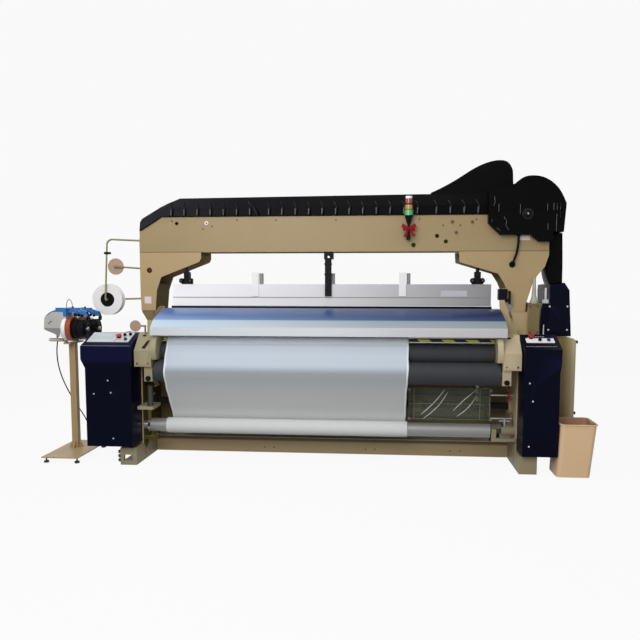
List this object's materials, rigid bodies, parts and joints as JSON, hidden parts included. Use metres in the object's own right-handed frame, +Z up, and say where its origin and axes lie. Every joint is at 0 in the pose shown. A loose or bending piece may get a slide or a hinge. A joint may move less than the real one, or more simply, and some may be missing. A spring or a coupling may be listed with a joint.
{
  "type": "water-jet power loom",
  "caption": "Wide power loom with a top-mounted shedding drive, cloth and warp rollers, a reed hood, control pedestals and a weft feeder stand.",
  "frame": {"origin": "on the floor, at the centre of the loom's plan outline with stand and bin", "axes": "+X to the right of someone at the cloth side, +Y to the warp side, +Z up"},
  "size_m": [4.121, 1.9749, 2.302],
  "materials": {
    "beige_paint": "satin paint on cast iron, light wear",
    "black_cover": "moulded black cover, satin",
    "navy_paint": "dark navy powder coat",
    "black_paint": "black paint",
    "roller_grip": "dark grip covering on a steel barrel",
    "roller_steel": "turned steel",
    "hood_blue": "blue printed sheet with silver lip",
    "heald_metal": "extruded aluminium",
    "sley_metal": "extruded aluminium",
    "reed_steel": "flat steel dents",
    "woven_cloth": "tight white woven filament cloth",
    "warp_yarn": "white filament yarn",
    "clear_guard": "clear plastic sheet",
    "panel_plate": "anodised plate with a dark screen",
    "stop_red": "red mushroom head",
    "button_green": "green button",
    "button_black": "black button",
    "button_blue": "blue button",
    "motor_paint": "grey-blue motor paint",
    "pump_metal": "cast body with a steel pipe",
    "lamp_plastic": "stacked signal lamp",
    "ribbon": "red satin ribbon",
    "brass_rod": "thin brass rods",
    "spool_plastic": "white flanges with pale yarn",
    "bottle_plastic": "oil bottle",
    "feeder_blue": "blue and silver housing",
    "feeder_ring_black": "black ring",
    "bin_plastic": "beige bin",
    "cable_black": "black cable",
    "conduit_grey": "beige-grey conduit"
  },
  "bodies": {
    "loom_frame": {"side_frame_left": "beige_paint", "side_frame_right": "beige_paint", "front_cross_beam": "beige_paint", "rear_cross_beam": "beige_paint", "cross_girder": "beige_paint", "breast_beam": "beige_paint", "roller_bracket_left": "beige_paint", "roller_bracket_right": "beige_paint", "arch_leg_left": "beige_paint", "arch_leg_right": "beige_paint", "arch_beam": "beige_paint", "beam_cover": "black_cover", "drive_fairing": "black_cover", "dobby_cover": "black_cover", "belt_guard": "black_cover", "drive_cover": "navy_paint", "splash_guard": "clear_guard", "electrical_cabinet": "beige_paint", "control_box_left": "navy_paint", "control_panel_left": "panel_plate", "control_box_right": "navy_paint", "fabric_sheet": "woven_cloth", "centre_guide": "black_paint", "warp_sheet": "warp_yarn", "drive_motor": "motor_paint", "water_pump": "pump_metal", "signal_lamp": "lamp_plastic", "lamp_bow": "ribbon", "selvedge_rods": "brass_rod", "oil_bottle": "bottle_plastic", "weft_stand": "beige_paint", "feeder_front": "feeder_blue", "feeder_rear": "feeder_blue", "waste_bin": "bin_plastic", "feeder_cable": "cable_black", "dobby_cable": "conduit_grey"},
    "press_roller": {"press_roller": "roller_grip"},
    "take_up_roller": {"take_up_roller": "roller_grip"},
    "cloth_roller": {"cloth_roller": "roller_steel", "cloth_roll": "woven_cloth"},
    "sley": {"sley": "sley_metal", "reed": "reed_steel"},
    "heald_1": {"heald_frame_1": "heald_metal"},
    "heald_2": {"heald_frame_2": "heald_metal"},
    "heald_3": {"heald_frame_3": "heald_metal"},
    "warp_beam": {"warp_beam": "warp_yarn"},
    "back_rest": {"back_rest_roller": "roller_steel"},
    "main_shaft": {"main_shaft": "roller_steel"},
    "hood": {"reed_hood": "hood_blue"},
    "cabinet_door": {"cabinet_door": "beige_paint"},
    "stop_left": {"emergency_stop_left": "stop_red"},
    "stop_right": {"emergency_stop_right": "stop_red"},
    "button_left_1": {"panel_button_left_1": "button_black"},
    "button_left_2": {"panel_button_left_2": "button_black"},
    "button_left_3": {"panel_button_left_3": "button_green"},
    "button_right_1": {"panel_button_right_1": "button_black"},
    "button_right_2": {"panel_button_right_2": "button_blue"},
    "ring_front": {"feeder_ring_front": "feeder_ring_black"},
    "ring_rear": {"feeder_ring_rear": "feeder_ring_black"},
    "spool": {"selvedge_spool": "spool_plastic"}
  },
  "joints": [
    {"name": "take_up_turn", "type": "hinge", "parent": "loom_frame", "child": "take_up_roller", "pos_m": [0.1335, -0.8275, 0.707], "axis": [1, 0, 0], "continuous": true},
    {"name": "press_roller_turn", "type": "hinge", "parent": "loom_frame", "child": "press_roller", "pos_m": [0.1335, -0.7475, 0.841], "axis": [1, 0, 0], "continuous": true},
    {"name": "cloth_roller_turn", "type": "hinge", "parent": "loom_frame", "child": "cloth_roller", "pos_m": [0.1335, -0.7125, 0.27], "axis": [1, 0, 0], "continuous": true},
    {"name": "warp_beam_turn", "type": "hinge", "parent": "loom_frame", "child": "warp_beam", "pos_m": [0.1335, 0.5875, 0.52], "axis": [1, 0, 0], "continuous": true},
    {"name": "back_rest_turn", "type": "hinge", "parent": "loom_frame", "child": "back_rest", "pos_m": [0.1335, 0.3775, 1.01], "axis": [1, 0, 0], "continuous": true},
    {"name": "main_shaft_turn", "type": "hinge", "parent": "loom_frame", "child": "main_shaft", "pos_m": [0.1335, 0.0475, 0.6], "axis": [1, 0, 0], "continuous": true},
    {"name": "sley_rock", "type": "hinge", "parent": "loom_frame", "child": "sley", "pos_m": [0.1335, -0.4825, 0.42], "axis": [1, 0, 0], "range_deg": [0, 4.5]},
    {"name": "hood_lift", "type": "hinge", "parent": "loom_frame", "child": "hood", "pos_m": [0.1335, -0.4545, 1.152], "axis": [-1, 0, 0], "range_deg": [0, 60]},
    {"name": "cabinet_door_swing", "type": "hinge", "parent": "loom_frame", "child": "cabinet_door", "pos_m": [1.9765, -0.1065, 0.64], "axis": [0, 0, 1], "range_deg": [0, 100]},
    {"name": "heald_lift_1", "type": "slide", "parent": "loom_frame", "child": "heald_1", "axis": [0, 0, 1], "range_m": [-0.04, 0.04]},
    {"name": "heald_lift_2", "type": "slide", "parent": "loom_frame", "child": "heald_2", "axis": [0, 0, 1], "range_m": [-0.04, 0.04]},
    {"name": "heald_lift_3", "type": "slide", "parent": "loom_frame", "child": "heald_3", "axis": [0, 0, 1], "range_m": [-0.04, 0.04]},
    {"name": "stop_left_press", "type": "slide", "parent": "loom_frame", "child": "stop_left", "axis": [0, 0.3467, -0.938], "range_m": [0, 0.006], "stiffness_N_per_m": 500, "springref_m": -0.002},
    {"name": "stop_right_press", "type": "slide", "parent": "loom_frame", "child": "stop_right", "axis": [0, 0.4104, -0.9119], "range_m": [0, 0.006], "stiffness_N_per_m": 500, "springref_m": -0.002},
    {"name": "button_left_1_press", "type": "slide", "parent": "loom_frame", "child": "button_left_1", "axis": [0, 0.3467, -0.938], "range_m": [0, 0.003], "stiffness_N_per_m": 300, "springref_m": -0.002},
    {"name": "button_left_2_press", "type": "slide", "parent": "loom_frame", "child": "button_left_2", "axis": [0, 0.3467, -0.938], "range_m": [0, 0.003], "stiffness_N_per_m": 300, "springref_m": -0.002},
    {"name": "button_left_3_press", "type": "slide", "parent": "loom_frame", "child": "button_left_3", "axis": [0, 0.3467, -0.938], "range_m": [0, 0.003], "stiffness_N_per_m": 300, "springref_m": -0.002},
    {"name": "button_right_1_press", "type": "slide", "parent": "loom_frame", "child": "button_right_1", "axis": [0, 0.4104, -0.9119], "range_m": [0, 0.003], "stiffness_N_per_m": 300, "springref_m": -0.002},
    {"name": "button_right_2_press", "type": "slide", "parent": "loom_frame", "child": "button_right_2", "axis": [0, 0.4104, -0.9119], "range_m": [0, 0.003], "stiffness_N_per_m": 300, "springref_m": -0.002},
    {"name": "ring_front_turn", "type": "hinge", "parent": "loom_frame", "child": "ring_front", "pos_m": [-1.8555, -0.6525, 1.005], "axis": [1, 0, 0], "continuous": true},
    {"name": "ring_rear_turn", "type": "hinge", "parent": "loom_frame", "child": "ring_rear", "pos_m": [-1.8465, -0.4475, 0.997], "axis": [1, 0, 0], "continuous": true},
    {"name": "spool_turn", "type": "hinge", "parent": "loom_frame", "child": "spool", "pos_m": [-1.6785, -0.3425, 1.225], "axis": [0, 1, 0], "continuous": true}
  ],
  "couplings": [
    {"joint": "press_roller_turn", "follows": "take_up_turn", "ratio": -1.1233},
    {"joint": "cloth_roller_turn", "follows": "take_up_turn", "ratio": -1.384},
    {"joint": "warp_beam_turn", "follows": "take_up_turn", "ratio": 0.25023},
    {"joint": "back_rest_turn", "follows": "take_up_turn", "ratio": 1.3524},
    {"joint": "heald_lift_2", "follows": "heald_lift_1", "ratio": -1},
    {"joint": "heald_lift_3", "follows": "heald_lift_1", "ratio": 1}
  ]
}
